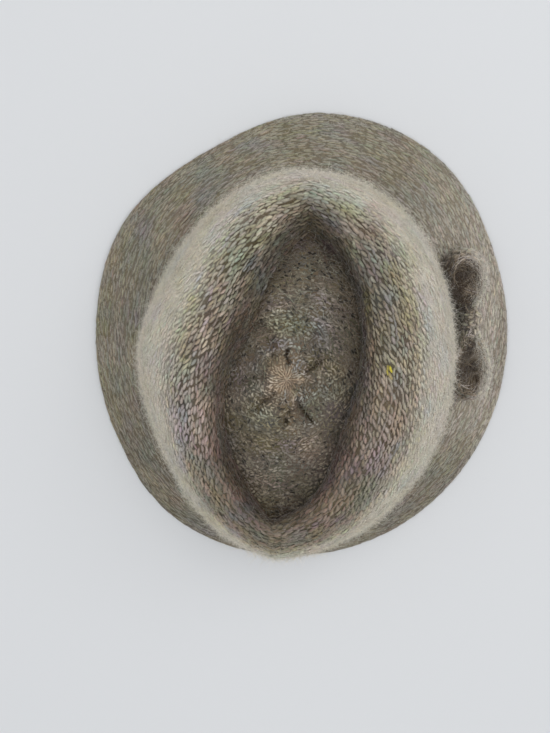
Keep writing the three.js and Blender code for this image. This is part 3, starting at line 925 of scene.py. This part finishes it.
def floor_colour(random, centres, radius, turn, rim, slit):
    """The heather, tan in uneven lobes near the star, painted darker with shade in dips and slits and towards
    the rim, lighter within about 26 mm of the star, mottled, and with pits here and there, painted dark as the
    shade where they look into the fabric."""
    count = len(radius)
    colours = 0.9 * heather(centres, turn * FLOOR_ROUND, radius / 2.5, 9) + 0.1 * YARN.mean(0)
    lobes = patches(np.stack([np.cos(turn), np.sin(turn), 0 * turn], -1), 0.35, 95)
    near = (1 - ramp(radius, 3, 8 + 14 * ramp(lobes, 0.25, 0.75))) * random.uniform(0.45, 1, count)
    colours = blended(colours, STAR_TAN, near)
    # painted shade towards the rim, at the foot of the dent's wall
    edge = ramp(radius / rim, 0.5, 1.0) * (0.55 + 0.15 * np.cos(turn))
    # painted shade in the slits and the broad dips
    share = (1 - 0.92 * slit) * (1 - 0.4 * in_crease(centres, "dip", DIP_HALF_WIDTH, 2.5)) * (1 - edge)
    share = share * (1.05 + random.uniform(-0.42, 0.42, count) * (1 - 0.75 * near))
    share = share * (0.9 + 0.35 * np.exp(-(radius / 26) ** 2) + 0.06 * ramp(centres[:, 1], 25, 45))
    colours = shaded(colours, share * mottle(centres))
    # painted shade: the pits into the fabric are dark
    pits = np.where(random.random(count) < 0.16, 0.3, 1.08)[:, None]
    near = near[:, None]
    return (colours * (1 - near) * pits + colours * near) * FLOOR_TINT


# %% Laying the floor
def floor_legs():
    """Legs on the dent's floor. Near the star they point away from it, and far from it they lie along the
    ring, as the rows do. Between, the felted wool is restless and curls."""
    random = np.random.default_rng(5)
    radius, turn, rim = floor_places(random)
    count = len(radius)
    centres = floor_surface(radius, turn)
    away, sideways, up_ = floor_directions(radius, turn)
    unrest = ramp(radius, 3, 12) * (1 - 0.4 * ramp(radius, 22, 34))
    lean = 90 * ramp(radius, 9, 20) + random.normal(0, 9, count) + random.normal(0, 38, count) * unrest
    lean = np.radians(lean)
    along = away * np.cos(lean)[:, None] + sideways * np.sin(lean)[:, None]
    slit = in_crease(centres, "slit", SLIT_HALF_WIDTH * 1.2, 1.8)
    colours = floor_colour(random, centres, radius, turn, rim, slit)
    length = 3.0 * random.uniform(0.6, 1.3, count) * (1 - 0.5 * slit)
    width = np.interp(radius, [0, 10, 18], [0.9, 1.05, 1.25]) * random.uniform(0.7, 1.2, count)
    curl = random.normal(0, 0.5, count) * unrest
    centres = centres + up_ * random.normal(0, 0.15, (count, 1))
    hub = crown_surface(np.full(AROUND, float(STAR)), angles).mean(0)
    centres = blended(hub, centres, np.minimum(radius / CROWN["side"][STAR], 1))
    return legs(PLUMP, centres, along, up_, length, width, FLOOR_THICKNESS, FLOOR_RISE, colours, 0, curl)


finish_piece("dent_floor_stitches", *floor_legs(), STITCHES, "crown")

# %% Brim stitches
BRIM_PITCH = 3.4
BRIM_ROW = 1.5

brim_knit = knit_rows(SLIM, brim_surface, (0, 1.8), BRIM_ROW, BRIM_PITCH, 7, brim_colour,
                      lean=6, slant=6, thickness=1.5, contrast=0.12, row_wave=0.9, pairing=0.6,
                      looseness=0.3, fill=1.0, stretch=2.1)
finish_piece("brim_stitches", *brim_knit, STITCHES, "brim")

# %% [markdown]
# ## The bow
#
# Two loops of the same knit stand on the brim, on the wearer's right, and a small knot draws them together.
# Each loop is a band that leaves the knot, runs round a teardrop and comes back. Its ground is a swept
# rounded rectangle, its stitches run along the band, and the inside of the loop is painted dark, as shade.

# %% Bow sizes
KNOT = {"x": -95.5, "y": -32, "half_x": 8, "half_y": 5.5, "height": 24}
KNOT_MIDDLE = np.array([KNOT["x"], KNOT["y"]])
BOW_LOOPS = sizes(
    "name to_x to_y half_width height combed",
    ("bow_front_loop", -90.5, -68.5, 13.5, 25, 14),
    ("bow_back_loop", -104.5, 13.5, 13, 23, 10),
)
BAND = 5.5
BAND_ENDS_APART = 6.6
BAND_FLARE = 1.5  # how far the band's upper edge leans outwards
REST_GAP = 0.5
CLEAR_OF_KNOT = 0.8
OPENING = 0.55  # where the teardrop is as wide as the band's two ends
WIDEST = 0.77  # the largest value of sin t x sin(t / 2)


# %% The shapes of the loops and the knot
def loop_tip(loop):
    """Where a loop ends on the table, farthest from the knot."""
    return np.array([loop["to_x"], loop["to_y"]])


def loop_route(loop, v):
    """The teardrop on the table: cos t along its length, and sin t x sin(t / 2) across it, with its ends
    eased apart. v runs from 0 to 1."""
    whole = loop_tip(loop) - KNOT_MIDDLE
    start = KNOT_MIDDLE + whole * (KNOT["half_y"] + CLEAR_OF_KNOT) / abs(whole[1])
    axis = loop_tip(loop) - start
    side = np.array([-axis[1], axis[0]]) / np.linalg.norm(axis)
    t = OPENING + (TAU - 2 * OPENING) * v
    share = (math.cos(OPENING) - np.cos(t)) / (math.cos(OPENING) + 1)
    offset = np.sin(t) * np.sin(t / 2) * (loop["half_width"] - BAND / 2) / WIDEST
    ease = np.exp(-np.minimum(t - OPENING, TAU - OPENING - t) / 0.3)
    offset = offset + np.where(t < math.pi, 1, -1) * ease * (BAND_ENDS_APART / 2 - 2.0)
    return start + share[..., None] * axis + offset[..., None] * side


def rounded_square(turn):
    """Reach of the rounded square |x|^3 + |y|^3 = 1 at a turn round its middle."""
    return (np.abs(np.cos(turn)) ** 3 + np.abs(np.sin(turn)) ** 3) ** (-1 / 3)


def loop_surface(loop):
    """The band's skin: u turns round its section, a rounded rectangle, and v runs along it."""
    def surface(u, v):
        u, v = np.broadcast_arrays(u, v)
        place = loop_route(loop, v)
        onward = unit(loop_route(loop, v + 1e-3) - loop_route(loop, v - 1e-3))
        side = np.stack([onward[..., 1], -onward[..., 0]], -1)
        reach = rounded_square(u)
        rise = 0.5 + 0.5 * np.sin(u) * reach
        across = BAND / 2 * np.cos(u) * reach + BAND_FLARE * rise**2
        flat = place + side * across[..., None]
        foot = brim_height(flat[..., 0], flat[..., 1]) + REST_GAP
        return np.concatenate([flat, (foot + rise * loop["height"])[..., None]], -1)
    return surface


def knot_surface(s, angle):
    """The knot: rounded squares stacked from its foot, s = 0, to its top, s = 1."""
    s, angle = np.broadcast_arrays(s, angle)
    size = np.interp(s, [0, 0.1, 0.3, 0.7, 0.9, 0.97, 1], [0.8, 0.95, 1, 1, 0.8, 0.5, 0.12])
    x = KNOT["x"] + KNOT["half_x"] * size * rounded_square(angle) * np.sin(angle)
    y = KNOT["y"] - KNOT["half_y"] * size * rounded_square(angle) * np.cos(angle)
    return np.stack([x, y, brim_height(x, y) + REST_GAP + s * KNOT["height"]], -1)


# %% Light and dark on the bow
LOOP_MIDDLE = 0.1  # the hollow's middle lies beyond the loop's, by this share of half its length
BOW_SLANT = 0.171  # how far the bow's line leans inwards per mm of its length
BOW_DYE = np.array([0.80, 0.75, 0.68])


def across_bow(points):
    """Distance outwards from the line of the bow's length; towards the crown it is negative."""
    return -(points[..., 0] - KNOT["x"]) - BOW_SLANT * (points[..., 1] - KNOT["y"])


def outer_side(points):
    """0 on the side of the bow that faces the crown and 1 on its outer side."""
    return ramp(across_bow(points), -5, 7)


def hollow_of_loops(points):
    """1 over the loops' hollows and 0 from their rims on, by the distance from the middle of each loop in
    shares of its half length and half width."""
    hollow = np.zeros(len(points))
    for loop in BOW_LOOPS:
        half_length = np.linalg.norm(loop_tip(loop) - KNOT_MIDDLE) / 2
        along = (loop_tip(loop) - KNOT_MIDDLE) / 2 / half_length
        away = points[:, :2] - (KNOT_MIDDLE + loop_tip(loop)) / 2 - along * LOOP_MIDDLE * half_length
        across = np.array([-along[1], along[0]])
        share = np.hypot(away @ along / half_length, away @ across / loop["half_width"])
        hollow = np.maximum(hollow, 1 - ramp(share, 0.5, 0.85))
    return hollow


def rim_of_bow(points):
    """1 at the bow's pale rim, outside the loops' hollows: its outer side and the tip of the front loop."""
    return np.maximum(outer_side(points), 0.75 * ramp(-points[:, 1], 52, 64)) * (1 - hollow_of_loops(points))


def front_loop(points):
    """1 at the front loop, which is the darker one inside, and 0 at the back loop."""
    return 1 - ramp(points[:, 1], -38, -20)


def dark_of_bow(points):
    """1 where the most shade is painted on the bow: the front loop towards the crown, and the back loop in its
    hollow.
    """
    front = front_loop(points)
    return front * (1 - ramp(across_bow(points), -8, 4)) + (1 - front) * 0.5 * hollow_of_loops(points)


def bow_colour(points, *_):
    """A browner heather, pale at the loops' outer side, and with painted shade on the side towards the crown,
    in the hollows and low down between the loops and the crown.
    """
    outer = rim_of_bow(points)
    low = 1 - ramp(points[:, 2], 16, 38)
    colour = heather(points, points[:, 1], points[:, 2] / 2, 60) * BOW_DYE
    colour = colour + PALE_HAIR * 0.52 * outer[:, None]
    # painted shade: darker on the side towards the crown, in the hollows and low down
    return shaded(colour, (0.8 + 0.2 * outer) * (1 - 0.55 * dark_of_bow(points)) * (1 - 0.45 * low))


# %% Bow grounds and stitches
BOW_PITCH = 3.6
BOW_ROW = 1.8
# painted shade: the ground between the bow's stitches is darkened to this share
BOW_GAP_SHADE_SHARE = 0.3  # how light the ground is between the bow's stitches


def band_places(surface, seed):
    """Rows of legs along a band: rows an equal distance apart round its section, legs an equal pitch along
    it."""
    random = np.random.default_rng(seed)
    u, v = np.linspace(0, TAU, 241), np.linspace(0, 1, 241)
    girth, length = walked(surface(u, 0.5 + 0 * u)), walked(surface(0 * v, v))
    rows, count = int(girth[-1] / BOW_ROW), int(length[-1] / BOW_PITCH)
    row, step = np.meshgrid(np.arange(rows), np.arange(count), indexing="ij")
    phase = np.repeat(random.random((rows + 1) // 2), 2)[:rows, None]
    at = (step + 0.5 + (phase - 0.5) * 0.8) * length[-1] / count
    places = np.interp(row * girth[-1] / rows, girth, u), np.interp(at, length, v), row
    return [values.ravel() for values in places]


def bow_piece(node, rings, knitted):
    """The ground and the stitches of a part of the bow."""
    points, triangles = closed_tube(rings)
    # painted shade between the bow's stitches
    ground_colours = bow_colour(points) * BOW_GAP_SHADE_SHARE
    finish_piece(node + "_ground", points, triangles, ground_colours, FELT, node)
    finish_piece(node + "_stitches", *knitted, STITCHES, node)


for number, loop in enumerate(BOW_LOOPS):
    surface = loop_surface(loop)
    section, course = -np.arange(28) * TAU / 28, np.linspace(0, 1, 70)
    places = band_places(surface, 30 + number)
    knitted = knit(SLIM, surface, places, BOW_ROW, BOW_PITCH, 32 + number, bow_colour, lean=10)
    bow_piece(str(loop["name"]), surface(*np.meshgrid(section, course)), knitted)

knot_rings = over_grid(knot_surface, np.linspace(0, 1, 22), np.arange(32) * TAU / 32)
knot_legs = knit_rows(SLIM, knot_surface, (0.02, 1), BOW_ROW, BOW_PITCH, 36, bow_colour, lean=10)
bow_piece("bow_knot", knot_rings, knot_legs)

# %% [markdown]
# ## Hairs
#
# Mohair is spun loosely, and brushing pulls its long fibres out of the stitches. They stand thickest on the
# lower wall of the crown and on the bow. Each hair here is a three-sided needle that starts in the fabric,
# so that it is a closed solid, and bends along a parabola. Short straight down takes four triangles a hair
# and long curved hairs ten or sixteen.

# %% One hair
ASIDE = np.array([0.31, -0.17, 0.23])  # any direction that is not along a hair
HAIRS_OFF_TABLE = 0.2


def hairs(roots, forward, bend, length, radius, colours, segments):
    """Needles: root + forward x l x t + bend x l x t^2, whose radius shrinks to nothing at the tip."""
    count = len(roots)
    t = np.arange(segments + 1) / segments
    course = forward[:, None] * t[:, None] + bend[:, None] * t[:, None] ** 2
    line = roots[:, None] + course * length[:, None, None]
    first = unit(np.cross(forward, np.roll(forward, 1, axis=-1) + ASIDE))
    second = np.cross(forward, first)
    turn = np.arange(3) * TAU / 3
    spoke = first[:, None] * np.cos(turn)[:, None] + second[:, None] * np.sin(turn)[:, None]
    size = radius[:, None, None, None] * (1 - 0.6 * t[:-1])[:, None, None]
    rings = line[:, :-1, None] + spoke[:, None] * size
    points = np.concatenate([rings.reshape(count, -1, 3), line[:, -1:]], 1)
    points[..., 2] = np.maximum(points[..., 2], HAIRS_OFF_TABLE)
    body = ring_triangles(segments, 3) if segments > 1 else np.zeros((0, 3), int)
    top = cap_triangles(np.arange(3) + 3 * (segments - 1), 3 * segments, True)
    pattern = np.concatenate([[(0, 2, 1)], body, top])
    triangles = pattern[None] + np.arange(count)[:, None, None] * (3 * segments + 1)
    return points.reshape(-1, 3), triangles.reshape(-1, 3), np.repeat(colours, 3 * segments + 1, axis=0)


# %% Where the hairs grow
def scatter(surface, s_range, angle_range, count, density, seed):
    """Random places on a surface: cells of a grid are drawn by area x density, and each place is anywhere in
    its cell."""
    random = np.random.default_rng(seed)
    s, angle = np.linspace(*s_range, 121), np.linspace(*angle_range, 241)
    grid = over_grid(surface, s, angle)
    corner = grid[:-1, :-1]
    area = np.linalg.norm(np.cross(grid[1:, :-1] - corner, grid[:-1, 1:] - corner), axis=-1)
    middle_s, middle_angle = (s[1:] + s[:-1]) / 2, (angle[1:] + angle[:-1]) / 2
    weight = (area * over_grid(density, middle_s, middle_angle)).ravel()
    i, j = np.divmod(random.choice(len(weight), count, p=weight / weight.sum()), len(middle_angle))
    free_s = random.random(count) * (s[1] - s[0])
    return s[i] + free_s, angle[j] + random.random(count) * (angle[1] - angle[0])


def grow(surface, places, seed, length, radius, colour_of, out_share, segments,
         droop=0.25, sink=0.4, curl=0.25):
    """Hairs at places on a surface: each starts along it, out of it or between, and curls at random."""
    s, angle = places
    random = np.random.default_rng(seed)
    count = len(s)
    roots = surface(s, angle)
    round_, rise, out = directions(surface, s, angle)
    outward = random.uniform(*out_share, count)[:, None]
    spin = random.uniform(0, TAU, count)[:, None]
    forward = out * outward + (round_ * np.cos(spin) + rise * np.sin(spin)) * np.sqrt(1 - outward**2)
    bend = random.normal(0, curl, (count, 3))
    bend = bend - out * (0.7 * (bend * out).sum(-1, keepdims=True) * (curl > 0.5) + droop * outward)
    lengths = length * random.uniform(0.5, 1.5, count)
    colours = colour_of(roots, s, angle) * random.uniform(0.8, 1.15, (count, 1))
    thick = radius * random.uniform(0.8, 1.3, count)
    return hairs(roots - out * sink, forward, bend, lengths, thick, colours, segments)


ALL_ROUND = (0, TAU)


def hairy(name, surface, spans, count, density, seeds, material, node, **manner):
    """A piece of hairs scattered over spans of a surface. One seed is for their places, one for the hairs."""
    places = scatter(surface, *spans, count, density, seeds[0])
    finish_piece(name, *grow(surface, places, seeds[1], **manner), material, node)


def even(s, angle):
    """The same density everywhere."""
    return 1 + 0 * s


# %% Hairs of the crown
def crown_hair_colour(points, s, angle):
    """Mostly pale on the wall, where a sheen is painted too, tinted as the yarn below is on the crest, and
    darkened in the dent by its painted shade.
    """
    pale = (0.3 + 0.6 * paleness(s, angle))[:, None]
    front = ramp(np.cos(angle), 0.55, 0.95)[:, None]
    colour = pale * brushed(points, angle * CROWN_ROUND, points[:, 2] / 2) * (1 + 0.06 * front)
    colour = colour + 0.4 * heather(points, angle * CROWN_ROUND, points[:, 2] / 2)
    # painted shade of the dent
    return colour * (1 - 0.8 * darkness(s, angle))[:, None]


def strand_colour(points, s, angle):
    """The yarn's own colours, for short strands that have come loose from the stitches, darkened in the dent by
    its painted shade.
    """
    return shaded(heather(points, angle * CROWN_ROUND, points[:, 2] / 2), 1 - 0.85 * darkness(s, angle))


def felt_colour(points, s, angle):
    """Light and dark fibres of the dent's floor, tan near the star, and darkened by painted shade in its slits
    and at the rim.
    """
    light = np.random.default_rng(91).uniform(0.4, 1.7, len(points)) * mottle(points)
    slit = in_crease(points, "slit", SLIT_HALF_WIDTH * 1.3, 2)
    # painted shade in the slits and near the rim
    light *= (1 - 0.85 * slit) * (1 - 0.45 * (1 - ramp(s, CREASE, FLOOR_EDGE + 0.2)))
    near = (1 - ramp(np.linalg.norm((points - STAR_MIDDLE)[:, :2], axis=-1), 3, 13))[:, None]
    colours = heather(points, angle * FLOOR_ROUND, points[:, 0] / 2.5, 9) * (1 - 0.75 * near)
    return shaded(colours + STAR_TAN * 0.75 * near, light)


def wall_density(s, angle):
    """Thickest from the seam to the bulge, thin on the crest and thinnest in the dent."""
    return np.interp(s, [0, 0.4, 2.6, 3.7, 4.5, 5.2, 8], [0.6, 1, 1.4, 1.1, 0.14, 0.05, 0.07])


def fibre_density(s, angle):
    """Even on the dent's floor, thin on the star, and none in the slits."""
    slit = crease_depth(crown_surface(s, angle), "slit", SLIT_HALF_WIDTH * 2)
    return (1 - 0.7 * ramp(s, 10.2, GATHER)) * np.exp(-2 * slit)


# %% Hairs grown on the crown
hairy("crown_down", crown_surface, ((0.05, CREASE), ALL_ROUND), 42000, wall_density, (50, 51),
      HAIRS, "crown", length=4.8, radius=0.09, colour_of=crown_hair_colour, out_share=(0.1, 0.75), segments=1)
hairy("crown_loose_strands", crown_surface, ((3.6, CREASE), ALL_ROUND), 13000, even, (70, 71),
      STITCHES, "crown", length=4.2, radius=0.1, colour_of=strand_colour, out_share=(0.02, 0.35), segments=1)
hairy("dent_floor_fibres", crown_surface, ((CREASE - 0.8, STAR - 0.05), ALL_ROUND), 3800, fibre_density,
      (72, 73), STITCHES, "crown", length=3.6, radius=0.22, colour_of=felt_colour, out_share=(0.02, 0.3),
      segments=3, sink=0.1, curl=0.9)
hairy("crown_hairs", crown_surface, ((0.1, STAR - 0.2), ALL_ROUND), 8000, wall_density, (52, 53),
      HAIRS, "crown", length=9, radius=0.065, colour_of=crown_hair_colour, out_share=(0.1, 0.7), segments=2)

# %% Hairs of the brim
def brim_hair_colour(points, s, angle):
    """A little darker than the crown's."""
    return 0.55 * PALE_HAIR + 0.4 * heather(points, angle * BRIM_ROUND, points[:, 2] / 2, 40)


def thick_at_the_hem(s, angle):
    """Three times as many hairs round the hem as on the slope."""
    return 1 + 2 * ramp(s, 0.85, 1)


hairy("brim_down", brim_surface, ((0.05, 1.8), ALL_ROUND), 9000, thick_at_the_hem, (54, 55),
      HAIRS, "brim", length=3.4, radius=0.06, colour_of=brim_hair_colour, out_share=(0.05, 0.5), segments=1)

# %% Hairs of the bow
HAIR_SHADES = linear([(206, 194, 186), (166, 151, 132), (122, 108, 90), (78, 65, 54)])
SHADE_LIMITS = [0.42, 0.62, 0.82]  # where one shade gives way to the next darker one


def bow_hair_colour(points, *_):
    """Pale, middle and dark hairs in small locks, paler at the loops' outer side, and darker by painted shade
    towards the crown and in the hollows.
    """
    draw = 0.3 * np.random.default_rng(len(points)).random(len(points)) + patches(points, 3.4, 92)
    # painted shade towards the crown and in the hollows
    draw = draw - 0.1 + 0.22 * front_loop(points) + 0.4 * dark_of_bow(points) - 0.6 * rim_of_bow(points)
    return HAIR_SHADES[np.digitize(draw, SHADE_LIMITS)]


def bow_rim_colour(points, *_):
    """The pale hairs that stand off the bow's outer side."""
    return np.ones((len(points), 1)) * PALE_HAIR * 0.95


# %% Combed hairs, and all of the bow's
def combed(loop, places, seed, radius):
    """Hairs that are combed along a loop: they start along the band, rise a little, and bend inwards to the
    loop's middle, so that they lie in arcs over its hollow."""
    surface = loop_surface(loop)
    u, v = places
    random = np.random.default_rng(seed)
    count = len(u)
    roots = surface(u, v)
    onward = unit(surface(u, v + 0.01) - surface(u, v - 0.01))
    onward = onward * np.where(random.random(count) < 0.65, -1, 1)[:, None]
    middle = loop_route(loop, np.array([0.08, 0.5, 0.92])).mean(0) + np.array([8, 0])
    inward = unit(np.concatenate([middle - roots[:, :2], np.zeros((count, 1))], -1))
    forward = onward * 0.85 + inward * random.uniform(0.1, 1.6, (count, 1)) + np.array([0, 0, 0.3])
    forward = unit(forward + random.normal(0, 0.12, (count, 3)))
    bend = inward * random.uniform(0.3, 0.7, (count, 1)) - np.array([0, 0, 0.35])
    bend = bend + random.normal(0, 0.08, (count, 3))
    lengths = loop["combed"] * random.uniform(0.6, 1.3, count)
    thick = radius * random.uniform(0.8, 1.4, count)
    halfway = roots + (0.6 * forward + 0.36 * bend) * lengths[:, None]
    return hairs(roots, forward, bend, lengths, thick, bow_hair_colour(halfway), 3)


for number, loop in enumerate(BOW_LOOPS):
    name = str(loop["name"])
    surface = loop_surface(loop)
    hairy(name + "_hairs", surface, (ALL_ROUND, (0.02, 0.98)), 1300, even, (56 + number, 58 + number),
          STITCHES, name, length=5, radius=0.06, colour_of=bow_hair_colour, out_share=(0.1, 0.6),
          segments=2)
    hairy(name + "_rim_hairs", surface, ((-0.6, math.pi / 2 + 0.4), (0.02, 0.98)), 4200,
          lambda u, v: outer_side(surface(u, v)) ** 2, (66 + number, 68 + number),
          HAIRS, name, length=5.5, radius=0.11, colour_of=bow_rim_colour, out_share=(0.1, 0.8), segments=1)
    upper = lambda u, v: ramp(np.sin(u), 0.3, 0.9) * (1 + outer_side(surface(u, v)))
    places = scatter(surface, (0.1, math.pi - 0.1), (0.04, 0.96), 1900, upper, 62 + number)
    finish_piece(name + "_combed_hairs", *combed(loop, places, 64 + number, 0.22), STITCHES, name)
hairy("bow_knot_hairs", knot_surface, ((0.3, 1), ALL_ROUND), 1200, even, (60, 61), STITCHES, "bow_knot",
      length=6, radius=0.06, colour_of=bow_hair_colour, out_share=(0.15, 0.8), segments=2)

# %% Size of the visual model
woollen = [mesh for mesh in bpy.data.meshes if "wool" in mesh.attributes]
print(len(woollen), "pieces,", sum(len(mesh.polygons) for mesh in woollen), "triangles")
